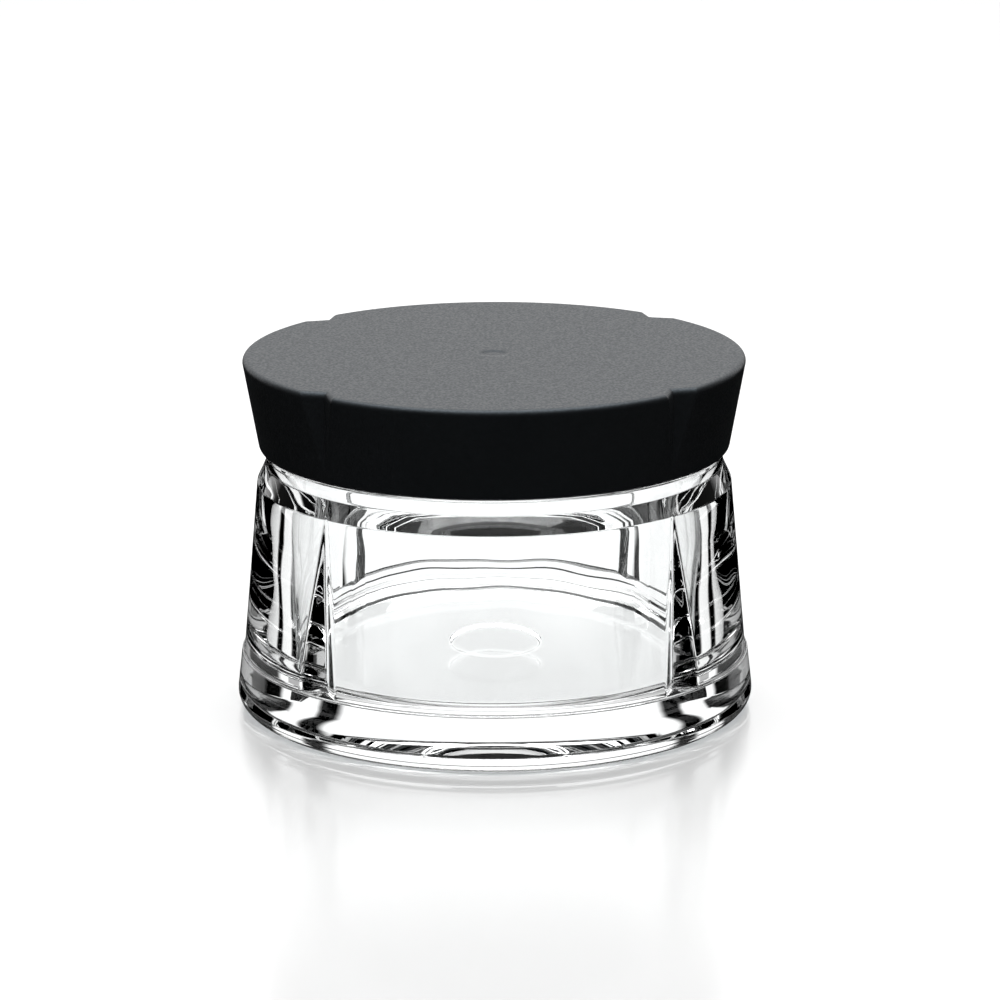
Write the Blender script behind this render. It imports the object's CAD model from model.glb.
import math

import bmesh
import bpy
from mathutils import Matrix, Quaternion, Vector


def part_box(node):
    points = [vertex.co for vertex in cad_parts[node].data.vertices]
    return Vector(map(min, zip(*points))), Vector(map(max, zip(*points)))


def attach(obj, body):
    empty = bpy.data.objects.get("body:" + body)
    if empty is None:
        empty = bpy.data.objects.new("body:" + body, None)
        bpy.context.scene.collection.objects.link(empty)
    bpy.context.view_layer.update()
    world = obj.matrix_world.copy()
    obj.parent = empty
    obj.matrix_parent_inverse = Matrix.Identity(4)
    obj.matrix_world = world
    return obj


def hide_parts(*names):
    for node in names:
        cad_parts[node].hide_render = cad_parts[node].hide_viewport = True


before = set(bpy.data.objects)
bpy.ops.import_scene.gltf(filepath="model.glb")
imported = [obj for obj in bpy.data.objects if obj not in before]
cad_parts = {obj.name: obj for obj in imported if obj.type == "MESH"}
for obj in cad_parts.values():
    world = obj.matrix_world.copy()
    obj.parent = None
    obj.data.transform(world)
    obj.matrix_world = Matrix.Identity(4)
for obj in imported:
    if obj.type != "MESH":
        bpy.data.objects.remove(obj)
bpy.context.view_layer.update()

MM = 0.001

# --- heights that the CAD frame gives; all sizes of the two bodies below are in millimetres
jar_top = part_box("jar_body")[1] / MM
cap_lo, cap_hi = (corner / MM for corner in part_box("lid_cap"))
RIM_Z = jar_top.z
LID_BOTTOM_Z = cap_lo.z
LID_TOP_Z = cap_hi.z

# --- the upright V-grooves on the diagonals
GROOVES = 4
GROOVE_FIRST_ANGLE = math.radians(45)
GROOVE_BOTTOM_R = 47.5
GROOVE_HALF_ANGLE = math.radians(59)
GROOVE_SOFTEN = 0.004        # rounding of the line at the bottom of each V, in radians
CLEAR_OF_GROOVES = 1000.0    # stands for no groove at all in a direction
SAME_POINT = 1e-7            # vertices this near each other, in metres, are one

# --- jar outline
BASE_FOOT_R = 52.3
BASE_TOP_R = 51.0
BASE_H = 11.6
BASE_TOP_ROUND = 0.4
FOOT_ROUND = 3.4
HOLLOW_R = 42.0              # shallow hollow under the base
HOLLOW_RISE = 0.8
HOLLOW_SLOPE = 2             # width of the hollow's sloping edge
HOLLOW_ROUND = 1.0
BODY_FOOT_R = 50.5
CREASE = 0.25                # size of the step where the body leaves the base ring
SHOULDER_R = 47.45
SHOULDER_Z = 46.3
NECK_R = 45.7
NECK_FOOT_Z = 50.1
SHOULDER_ROUND = 1.0
LEDGE_Z = 52.9
LEDGE_ROUND = 0.5
RIM_R = 44.3
RIM_ROUND = 0.9
BORE_R = 41.8
FLOOR_R = 41.3
FLOOR_Z = 10.2
FLOOR_ROUND = 2.4
MARK_R = 9.2
MARK_DEPTH = 0.4
MARK_SLOPE = 0.25            # half the width of the recess's sloping edge
SOFTEN = 0.02                # height of a small bevel

# --- lid cap outline
LID_TOP_R = 50.27
LID_BOTTOM_R = 46.93
LID_TOP_ROUND = 1.05
LID_EDGE_ROUND = 1.0
LID_TOP_BORDER = 1.7         # width of the top's border that follows the grooves
WALL = 1.7
TOP_WALL = 2.2
CEILING_ROUND = 1.0
GATE_R = 2.4
GATE_DEPTH = 0.15
GATE_SLOPE = 0.12            # half the width of the gate mark's sloping edge
RIB_R = 39.95
RIB_DEPTH = 3.0
RIB_WALL = 1.3
RIB_ROUND = 0.3
RIB_FILLET = 0.3


# ---------------------------------------------------------------- turned bodies with grooves
def columns():
    """Angles round the axis: close together across each groove, wider apart between them."""
    quarter = 360 / GROOVES
    near_half, near_step, wide_count = 9, 0.3, 32
    count = round(near_half / near_step)
    near = [near_step * i for i in range(-count, count + 1)]
    wide = [near_half + (quarter - 2 * near_half) * i / wide_count for i in range(1, wide_count)]
    angles = []
    for k in range(GROOVES):
        middle = GROOVE_FIRST_ANGLE + math.radians(quarter * k)
        angles += [middle + math.radians(a) for a in near + wide]
    return angles


def groove_radius(angle, bottom_r=GROOVE_BOTTOM_R):
    """Radius of the groove's flank in a direction, with a slightly rounded bottom."""
    step = 2 * math.pi / GROOVES
    off = (angle - GROOVE_FIRST_ANGLE + step / 2) % step - step / 2
    off = math.hypot(off, GROOVE_SOFTEN) - GROOVE_SOFTEN
    margin = 0.2
    if off >= GROOVE_HALF_ANGLE - margin:
        return CLEAR_OF_GROOVES
    return bottom_r * math.sin(GROOVE_HALF_ANGLE) / math.sin(GROOVE_HALF_ANGLE - off)


def smooth_min(a, b, blend):
    """The smaller of two lengths, rounded over where they cross."""
    h = max(blend - abs(a - b), 0.0) / blend
    return min(a, b) - h * h * blend / 4


def outline(corners, step):
    """Points (radius, height) along an open outline of (radius, height, rounding) corners.
    Straight stretches are split at about the step length, rounded corners about every 9 degrees."""
    last = Vector(corners[0][:2])
    points = [last]
    for i, (r, z, rounding) in enumerate(corners[1:], 1):
        here = Vector((r, z))
        first = final = here
        if rounding and i < len(corners) - 1:
            before = (Vector(corners[i - 1][:2]) - here).normalized()
            after = (Vector(corners[i + 1][:2]) - here).normalized()
            half = before.angle(after) / 2
            reach = rounding / math.tan(half)
            centre = here + (before + after).normalized() * (rounding / math.sin(half))
            first, final = here + before * reach, here + after * reach
        count = max(1, round((first - last).length / step))
        points += [last + (first - last) * k / count for k in range(1, count + 1)]
        if first != final:
            a0 = math.atan2(first.y - centre.y, first.x - centre.x)
            a1 = math.atan2(final.y - centre.y, final.x - centre.x)
            turn = (a1 - a0 + math.pi) % (2 * math.pi) - math.pi
            arcs = max(5, round(abs(turn) / math.radians(9)))
            for k in range(1, arcs + 1):
                a = a0 + turn * k / arcs
                points.append(centre + Vector((math.cos(a), math.sin(a))) * rounding)
        last = final
    return [tuple(point) for point in points]


def lathe(name, rings):
    """A closed body turned about Z. Each ring is (radius function of the angle, height);
    a ring of radius None is a single point on the axis."""
    mesh = bpy.data.meshes.new(name)
    bm = bmesh.new()
    angles = columns()
    made = []
    for radius, z in rings:
        if radius is None:
            made.append([bm.verts.new((0, 0, z * MM))])
            continue
        made.append(
            [
                bm.verts.new((radius(a) * math.cos(a) * MM, radius(a) * math.sin(a) * MM, z * MM))
                for a in angles
            ]
        )
    count = len(angles)
    for lower, upper in zip(made, made[1:]):
        for i in range(count):
            j = (i + 1) % count
            if len(lower) == 1:
                bm.faces.new((lower[0], upper[i], upper[j]))
            elif len(upper) == 1:
                bm.faces.new((lower[i], upper[0], lower[j]))
            else:
                bm.faces.new((lower[i], upper[i], upper[j], lower[j]))
    # where a groove cuts two rings back to one point, they share one vertex
    bmesh.ops.remove_doubles(bm, verts=bm.verts, dist=SAME_POINT)
    bmesh.ops.recalc_face_normals(bm, faces=bm.faces)
    for face in bm.faces:
        face.smooth = True
    bm.to_mesh(mesh)
    bm.free()
    obj = bpy.data.objects.new(name, mesh)
    bpy.context.scene.collection.objects.link(obj)
    return obj


def plain(points, wave=None):
    """Rings that the grooves don't reach, with an optional slight waviness of the radius."""
    if wave is None:
        return [((lambda a, r=r: r), z) for r, z in points]
    return [((lambda a, r=r, z=z: r + wave(a, z)), z) for r, z in points]


def grooved(points, blend, bottom_r=GROOVE_BOTTOM_R):
    """Rings whose radius is cut back by the grooves, softly rounded at the grooves' edges."""
    def cut(r):
        return lambda angle: smooth_min(r, groove_radius(angle, bottom_r), blend)
    return [(cut(r), z) for r, z in points]


# ---------------------------------------------------------------- the pressed-glass jar
GLASS_BLEND = 0.45           # how softly the pressed glass turns over a groove's edge


def bore_radius(z):
    """Radius of the slightly tapered inside at a height."""
    return FLOOR_R + (z - FLOOR_Z) * (BORE_R - FLOOR_R) / (RIM_Z - FLOOR_Z)


# waves of the inside, as (depth in millimetres, count round the axis, turn per millimetre, start)
GLASS_WAVES = [(0.06, 5, 0.07, 0.8), (0.025, 11, -0.17, 0.0), (0.010, 23, 0.27, 1.7)]
WAVE_FLAT_FOOT = 5           # no waves up to this far above the floor
WAVE_FADE_FOOT = 14          # and they grow to their full depth over this height
WAVE_FADE_TOP = 8            # they fade out over this height below the shoulder


def glass_wave(angle, z):
    """Slight unevenness of the inside of pressed glass."""
    foot = (z - FLOOR_Z - WAVE_FLAT_FOOT) / WAVE_FADE_FOOT
    top = (SHOULDER_Z - z) / WAVE_FADE_TOP
    fade = min(1.0, max(0.0, foot)) * min(1.0, max(0.0, top))
    return fade * sum(
        depth * math.sin(count * angle + z * twist + start)
        for depth, count, twist, start in GLASS_WAVES
    )


def make_jar():
    """One closed body, from the hollow under the base, up the outside, over the rim and down to
    the recess in the middle of the floor."""
    rings = [(None, HOLLOW_RISE)]
    foot = outline(
        [
            (3, HOLLOW_RISE, 0),
            (HOLLOW_R - HOLLOW_SLOPE, HOLLOW_RISE, HOLLOW_ROUND),
            (HOLLOW_R, 0, HOLLOW_ROUND),
            (BASE_FOOT_R, 0, FOOT_ROUND),
            (BASE_TOP_R, BASE_H, BASE_TOP_ROUND),
            (BODY_FOOT_R + CREASE, BASE_H, 0),
        ],
        step=1.6,
    )
    rings += plain(foot)
    body = outline(
        [
            (BODY_FOOT_R + 0.4 * CREASE, BASE_H + 0.2 * CREASE, 0),
            (BODY_FOOT_R, BASE_H + CREASE, 0),
            (SHOULDER_R, SHOULDER_Z, SHOULDER_ROUND),
            (NECK_R, NECK_FOOT_Z, SHOULDER_ROUND),
            (NECK_R, LEDGE_Z - 1, 0),
        ],
        step=0.8,
    )
    rings += grooved(body, GLASS_BLEND)
    # from here on the grooves don't reach the glass
    neck = outline(
        [
            (NECK_R, LEDGE_Z - 0.9, 0),
            (NECK_R, LEDGE_Z, LEDGE_ROUND),
            (RIM_R, LEDGE_Z, LEDGE_ROUND),
            (RIM_R, RIM_Z, RIM_ROUND),
            (BORE_R, RIM_Z, RIM_ROUND),
            (bore_radius(NECK_FOOT_Z), NECK_FOOT_Z, 0),
        ],
        step=1.2,
    )
    rings += plain(neck)
    inside = outline(
        [
            (bore_radius(NECK_FOOT_Z - 0.8), NECK_FOOT_Z - 0.8, 0),
            (FLOOR_R, FLOOR_Z, FLOOR_ROUND),
            (MARK_R + 2 * MARK_SLOPE, FLOOR_Z, 0),
        ],
        step=1.0,
    )
    rings += plain(inside, glass_wave)
    recess_z = FLOOR_Z - MARK_DEPTH
    slope = [
        (MARK_R + MARK_SLOPE, FLOOR_Z - SOFTEN),
        (MARK_R, FLOOR_Z - MARK_DEPTH / 2),
        (MARK_R - MARK_SLOPE, recess_z + SOFTEN),
    ]
    rings += plain(slope)
    recess = [(MARK_R - 2 * MARK_SLOPE, recess_z, 0), (2, recess_z, 0)]
    rings += plain(outline(recess, step=1.5))
    rings.append((None, recess_z))
    return lathe("jar_glass", rings)


# ---------------------------------------------------------------- the moulded lid cap
LID_BLEND = 0.12             # the lid's groove edges are crisper than the glass
FLAT_TOP_R = 44.5            # the top is plain rings up to here, inside the grooves
LID_EDGE_R = 45.6            # inner end of the lid's lower edge, where its hollow starts


def lid_radius(z):
    """Radius of the lid's flared side at a height."""
    return LID_TOP_R - (LID_TOP_Z - z) * (LID_TOP_R - LID_BOTTOM_R) / (LID_TOP_Z - LID_BOTTOM_Z)


def inset_groove(r, inset):
    """Radius function of a line that runs inside the grooved side at a fixed distance."""
    return lambda angle: smooth_min(r, groove_radius(angle), LID_BLEND) - inset


def make_lid():
    """Cap with its edges rounded along the grooved outline, hollow underneath."""
    ceiling = LID_TOP_Z - TOP_WALL
    gate_z = LID_TOP_Z - GATE_DEPTH
    rings = [(None, gate_z)]
    gate = [
        (GATE_R * 0.5, gate_z),
        (GATE_R - GATE_SLOPE, gate_z),
        (GATE_R, LID_TOP_Z - GATE_DEPTH / 2),
        (GATE_R + GATE_SLOPE, LID_TOP_Z),
    ]
    rings += plain(gate)
    flat_top = [(GATE_R + 1, LID_TOP_Z, 0), (FLAT_TOP_R, LID_TOP_Z, 0)]
    rings += plain(outline(flat_top, step=3.0))
    side = outline(
        [
            (LID_TOP_R - LID_TOP_BORDER, LID_TOP_Z, 0),
            (LID_TOP_R, LID_TOP_Z, LID_TOP_ROUND),
            (LID_BOTTOM_R, LID_BOTTOM_Z, LID_EDGE_ROUND),
            (LID_EDGE_R, LID_BOTTOM_Z, 0),
        ],
        step=0.9,
    )
    for r, z in side:
        # a rounded edge follows the grooved side at its own distance in from it
        rings.append((inset_groove(lid_radius(z), lid_radius(z) - r), z))
    hollow = outline(
        [
            (lid_radius(LID_BOTTOM_Z) - WALL, LID_BOTTOM_Z + SOFTEN, 0),
            (lid_radius(ceiling) - WALL, ceiling, CEILING_ROUND),
            (RIB_R + RIB_WALL + 2 * RIB_FILLET, ceiling, 0),
        ],
        step=1.2,
    )
    hollow_groove_r = GROOVE_BOTTOM_R - WALL / math.sin(GROOVE_HALF_ANGLE)
    rings += grooved(hollow, LID_BLEND, hollow_groove_r)
    rib = outline(
        [
            (RIB_R + RIB_WALL + RIB_FILLET, ceiling, 0),
            (RIB_R + RIB_WALL, ceiling - RIB_FILLET, 0),
            (RIB_R + RIB_WALL, ceiling - RIB_DEPTH, RIB_ROUND),
            (RIB_R, ceiling - RIB_DEPTH, RIB_ROUND),
            (RIB_R, ceiling, 0),
            (2, ceiling, 0),
        ],
        step=3.0,
    )
    rings += plain(rib)
    rings.append((None, ceiling))
    return lathe("lid_shell", rings)


# ---------------------------------------------------------------- materials
def new_material(name):
    material = bpy.data.materials.new(name)
    material.use_nodes = True
    nodes = material.node_tree.nodes
    return material, nodes, material.node_tree.links, nodes["Principled BSDF"]


GLASS_TINT = (0.985, 0.995, 0.995, 1)
GLASS_IOR = 1.52             # soda-lime glass
GLASS_SHADOW_TINT = (0.9, 0.92, 0.93, 1)


def glass_material():
    """Clear glass. For shadows it is a slightly dark window."""
    material, nodes, links, shader = new_material("clear_pressed_glass")
    shader.inputs["Base Color"].default_value = GLASS_TINT
    shader.inputs["Roughness"].default_value = 0.0
    shader.inputs["IOR"].default_value = GLASS_IOR
    shader.inputs["Transmission Weight"].default_value = 1.0
    clear = nodes.new("ShaderNodeBsdfTransparent")
    clear.inputs["Color"].default_value = GLASS_SHADOW_TINT
    path = nodes.new("ShaderNodeLightPath")
    mix = nodes.new("ShaderNodeMixShader")
    output = nodes["Material Output"]
    links.new(path.outputs["Is Shadow Ray"], mix.inputs["Fac"])
    links.new(shader.outputs["BSDF"], mix.inputs[1])
    links.new(clear.outputs["BSDF"], mix.inputs[2])
    links.new(mix.outputs["Shader"], output.inputs["Surface"])
    return material


PLASTIC_IOR = 1.4
PLASTIC_SHINE = (0.74, 0.88, 1, 1)     # its highlights are slightly blue
GRAIN_RANGE = (0.38, 0.62)   # the part of the noise that makes the grain's gloss
GLOSS_SPREAD = 0.16          # share by which the grain varies the roughness
CLOUD_SPREAD = 0.15          # share by which faint clouds vary the colour
CLOUD_SCALE = 60


def grained_plastic(name, colour, roughness, grain_mm, depth_mm):
    """Moulded plastic with a fine spark-eroded grain and faint clouds in its colour."""
    material, nodes, links, shader = new_material(name)
    shader.inputs["IOR"].default_value = PLASTIC_IOR
    shader.inputs["Specular Tint"].default_value = PLASTIC_SHINE
    place = nodes.new("ShaderNodeTexCoord")
    grain = nodes.new("ShaderNodeTexNoise")
    grain.inputs["Scale"].default_value = 1 / (grain_mm * MM)
    grain.inputs["Detail"].default_value = 2
    links.new(place.outputs["Object"], grain.inputs["Vector"])
    bump = nodes.new("ShaderNodeBump")
    bump.inputs["Strength"].default_value = 1.0
    bump.inputs["Distance"].default_value = depth_mm * MM
    links.new(grain.outputs["Fac"], bump.inputs["Height"])
    links.new(bump.outputs["Normal"], shader.inputs["Normal"])
    gloss = nodes.new("ShaderNodeMapRange")
    gloss.inputs["From Min"].default_value = GRAIN_RANGE[0]
    gloss.inputs["From Max"].default_value = GRAIN_RANGE[1]
    gloss.inputs["To Min"].default_value = roughness * (1 - GLOSS_SPREAD)
    gloss.inputs["To Max"].default_value = roughness * (1 + GLOSS_SPREAD)
    links.new(grain.outputs["Fac"], gloss.inputs["Value"])
    links.new(gloss.outputs["Result"], shader.inputs["Roughness"])
    cloud = nodes.new("ShaderNodeTexNoise")
    cloud.inputs["Scale"].default_value = CLOUD_SCALE
    links.new(place.outputs["Object"], cloud.inputs["Vector"])
    ramp = nodes.new("ShaderNodeValToRGB")
    ramp.color_ramp.elements[0].color = (*[c * (1 - CLOUD_SPREAD) for c in colour], 1)
    ramp.color_ramp.elements[1].color = (*[c * (1 + CLOUD_SPREAD) for c in colour], 1)
    links.new(cloud.outputs["Fac"], ramp.inputs["Fac"])
    links.new(ramp.outputs["Color"], shader.inputs["Base Color"])
    return material


def set_material(obj, material):
    obj.data.materials.clear()
    obj.data.materials.append(material)


jar = make_jar()
set_material(jar, glass_material())
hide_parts("jar_body")
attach(jar, "jar")

# colour, roughness, size and depth of the grain in millimetres
lid_black = grained_plastic("lid_black_grain", (0.006, 0.0063, 0.0068), 0.46, 0.5, 0.04)
insert_black = grained_plastic("insert_black_satin", (0.008, 0.008, 0.0085), 0.38, 0.5, 0.004)
seal_black = grained_plastic("seal_silicone_matt", (0.012, 0.012, 0.012), 0.62, 0.8, 0.004)

lid = make_lid()
set_material(lid, lid_black)
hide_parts("lid_cap")
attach(lid, "lid")

for node, material in (("lid_insert", insert_black), ("seal_ring", seal_black)):
    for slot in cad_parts[node].material_slots:
        slot.material = material


# ---------------------------------------------------------------- floor, light and camera
FLOOR_HALF = 3.0             # metres
FLOOR_DROP = 0.00002         # just below the foot, so that the two faces don't share a plane
FLOOR_GREY = (0.56, 0.56, 0.56, 1)
FLOOR_ROUGHNESS = 0.19
FLOOR_IOR = 2.4              # high, for the strong reflection in the photograph's tabletop


def make_floor():
    mesh = bpy.data.meshes.new("studio_floor")
    half = FLOOR_HALF
    corners = [(-half, -half, 0), (half, -half, 0), (half, half, 0), (-half, half, 0)]
    mesh.from_pydata(corners, [], [(0, 1, 2, 3)])
    floor = bpy.data.objects.new("studio_floor", mesh)
    bpy.context.scene.collection.objects.link(floor)
    material, _, _, shader = new_material("pale_gloss_floor")
    shader.inputs["Base Color"].default_value = FLOOR_GREY
    shader.inputs["Roughness"].default_value = FLOOR_ROUGHNESS
    shader.inputs["IOR"].default_value = FLOOR_IOR
    mesh.materials.append(material)
    floor.location.z = -FLOOR_DROP
    # the glass and the lid show the room instead of the floor
    floor.visible_transmission = False
    floor.visible_glossy = False


# What the glass shows all round, as (degrees from straight behind, brightness): a broad white
# window behind the jar, dark flanks with narrow windows beside it, and dimmer windows in front.
WINDOWS = [
    (0, 1), (30, 1), (32, 0), (37, 0), (38.5, 1), (48, 1), (50, 0), (72, 0), (74, 0.5),
    (106, 0.5), (108, 0.1), (121, 0.1), (123, 0.5), (180, 0.5),
]
# How high the windows reach, sector by sector. A sector is given by where it ends, in degrees from
# straight behind, and by its brightness as (degrees above the horizon, brightness).
SECTORS = [
    (
        9,
        [
            (-90, 1), (-32.5, 1), (-31.5, 0), (-27.8, 0), (-27, 1), (14, 1), (17, 0), (42, 0),
            (48, 1), (90, 1),
        ],
    ),
    (
        45,
        [
            (-90, 1), (-52, 1), (-50, 0), (-34, 0), (-33, 1), (14, 1), (17, 0), (42, 0),
            (48, 1), (90, 1),
        ],
    ),
    (180, [(-90, 1), (21, 1), (25, 0), (90, 0)]),
]
# The last sector also has a ceiling that starts at this height, as (degrees, brightness).
CEILING = [(-90, 0), (36, 0), (46, 1), (90, 1)]
WINDOW_LIGHT = 1.25
# What lights everything else: a bright screen behind, as (share of the half circle from straight
# behind, brightness), and a bright ceiling, as (height on the unit sphere, brightness).
SCREEN = [(0.0, 1.0), (0.22, 1.0), (0.27, 0.05), (0.6, 0.02), (1.0, 0.02)]
OVERHEAD = [(0.0, 0.0), (0.55, 0.0), (0.75, 1.0)]
ROOM_LIGHT = 1.3
WHITE = (1, 1, 1, 1)


def make_world():
    """What the glass shows is a room of white windows between dark flanks. Everything else is lit
    by a bright screen behind the object, a bright ceiling and a dark front. The picture's own
    background is white."""
    world = bpy.data.worlds.new("studio")
    bpy.context.scene.world = world
    world.use_nodes = True
    nodes, links = world.node_tree.nodes, world.node_tree.links
    nodes.clear()

    def math_node(operation, *values):
        node = nodes.new("ShaderNodeMath")
        node.operation = operation
        for socket, value in zip(node.inputs, values):
            if isinstance(value, (int, float)):
                socket.default_value = value
            else:
                links.new(value, socket)
        return node.outputs["Value"]

    def ramp_node(fac, stops):
        ramp = nodes.new("ShaderNodeValToRGB")
        elements = ramp.color_ramp.elements
        while len(elements) < len(stops):
            elements.new(0.5)
        for element, (position, value) in zip(elements, stops):
            element.position = position
            element.color = (value, value, value, 1)
        links.new(fac, ramp.inputs["Fac"])
        return ramp.outputs["Color"]

    def blend_node(blend_type, first, second):
        node = nodes.new("ShaderNodeMix")
        node.data_type = "RGBA"
        node.blend_type = blend_type
        node.inputs["Factor"].default_value = 1.0
        links.new(first, node.inputs["A"])
        links.new(second, node.inputs["B"])
        return node.outputs["Result"]

    def background_node(colour, strength):
        node = nodes.new("ShaderNodeBackground")
        node.inputs["Strength"].default_value = strength
        if colour is None:
            node.inputs["Color"].default_value = WHITE
        else:
            links.new(colour, node.inputs["Color"])
        return node.outputs["Background"]

    def mix_node(fac, first, second):
        node = nodes.new("ShaderNodeMixShader")
        links.new(fac, node.inputs["Fac"])
        links.new(first, node.inputs[1])
        links.new(second, node.inputs[2])
        return node.outputs["Shader"]

    def heights(stops):
        """Stops in degrees above the horizon, as places on a ramp from straight down to up."""
        return [(0.5 + 0.5 * math.sin(math.radians(degrees)), light) for degrees, light in stops]

    place = nodes.new("ShaderNodeTexCoord")
    split = nodes.new("ShaderNodeSeparateXYZ")
    links.new(place.outputs["Generated"], split.inputs["Vector"])
    azimuth = math_node("ABSOLUTE", math_node("ARCTAN2", split.outputs["X"], split.outputs["Y"]))
    share = math_node("DIVIDE", azimuth, math.pi)
    height = math_node("MULTIPLY_ADD", split.outputs["Z"], 0.5, 0.5)

    windows = ramp_node(share, [(degrees / 180, light) for degrees, light in WINDOWS])
    ceiling = ramp_node(height, heights(CEILING))
    # the sectors' ends are moved by this much, in radians, to take in the direction at 0 degrees
    shift = 0.001
    reach = 0.0
    start = 0
    for end, stops in SECTORS:
        bright = ramp_node(height, heights(stops))
        inside = math_node(
            "MULTIPLY",
            math_node("GREATER_THAN", azimuth, math.radians(start) - shift),
            math_node("LESS_THAN", azimuth, math.radians(end) - shift),
        )
        reach = math_node("MULTIPLY_ADD", bright, inside, reach)
        start = end
    ceiling = math_node("MULTIPLY", ceiling, inside)
    room = blend_node("LIGHTEN", blend_node("MULTIPLY", windows, reach), ceiling)
    seen_through = background_node(room, WINDOW_LIGHT)

    screen = blend_node("LIGHTEN", ramp_node(share, SCREEN), ramp_node(split.outputs["Z"], OVERHEAD))
    # the floor hides what is below the horizon
    above = math_node("GREATER_THAN", split.outputs["Z"], 0.0)
    lit = background_node(blend_node("MULTIPLY", screen, above), ROOM_LIGHT)

    path = nodes.new("ShaderNodeLightPath")
    shader = mix_node(path.outputs["Is Transmission Ray"], lit, seen_through)
    plain_white = background_node(None, ROOM_LIGHT)
    shader = mix_node(path.outputs["Is Camera Ray"], shader, plain_white)
    output = nodes.new("ShaderNodeOutputWorld")
    links.new(shader, output.inputs["Surface"])


SOFTBOX_SIZE = 1.0           # metres
SOFTBOX_WATTS = 14
SOFTBOX_PLACE = (0, 0.1, 0.9)


def make_softbox():
    data = bpy.data.lights.new("overhead_softbox", "AREA")
    data.shape = "SQUARE"
    data.size = SOFTBOX_SIZE
    data.energy = SOFTBOX_WATTS
    light = bpy.data.objects.new("overhead_softbox", data)
    light.location = SOFTBOX_PLACE
    bpy.context.scene.collection.objects.link(light)


# the camera stands a little to the left of the front and looks down at the object
CAMERA_AZIMUTH = math.radians(-1.6)
CAMERA_ELEVATION = math.radians(14.83)
CAMERA_DISTANCE = 0.92715
CAMERA_LENS = 166.03
CAMERA_ROLL = math.radians(-0.18)
AIM_HEIGHT = 0.035
# where the aim point lies in the view, as shares of the view's width
AIM_RIGHT, AIM_UP = -0.0055, -0.03111
SENSOR_WIDTH = 36            # millimetres
CAMERA_CLIP = (0.05, 20)     # metres


def make_camera():
    data = bpy.data.cameras.new("camera")
    data.lens = CAMERA_LENS
    data.sensor_width = SENSOR_WIDTH
    data.clip_start, data.clip_end = CAMERA_CLIP
    camera = bpy.data.objects.new("camera", data)
    bpy.context.scene.collection.objects.link(camera)
    back = Vector(
        (
            math.sin(CAMERA_AZIMUTH) * math.cos(CAMERA_ELEVATION),
            -math.cos(CAMERA_AZIMUTH) * math.cos(CAMERA_ELEVATION),
            math.sin(CAMERA_ELEVATION),
        )
    )
    camera.location = Vector((0, 0, AIM_HEIGHT)) + back * CAMERA_DISTANCE
    camera.rotation_mode = "QUATERNION"
    look = (-back).to_track_quat("-Z", "Y")
    field = SENSOR_WIDTH / CAMERA_LENS
    turn = Quaternion((0, 1, 0), math.atan(AIM_RIGHT * field))
    tilt = Quaternion((1, 0, 0), -math.atan(AIM_UP * field))
    roll = Quaternion((0, 0, 1), CAMERA_ROLL)
    camera.rotation_quaternion = look @ turn @ tilt @ roll
    bpy.context.scene.camera = camera


make_floor()
make_world()
make_softbox()
make_camera()
bpy.context.scene.view_settings.view_transform = "Standard"
# light is followed through many surfaces of the glass, and through several reflections inside it
SURFACES = 24
REFLECTIONS = 8
paths = bpy.context.scene.cycles
paths.max_bounces = SURFACES
paths.transmission_bounces = SURFACES
paths.glossy_bounces = REFLECTIONS
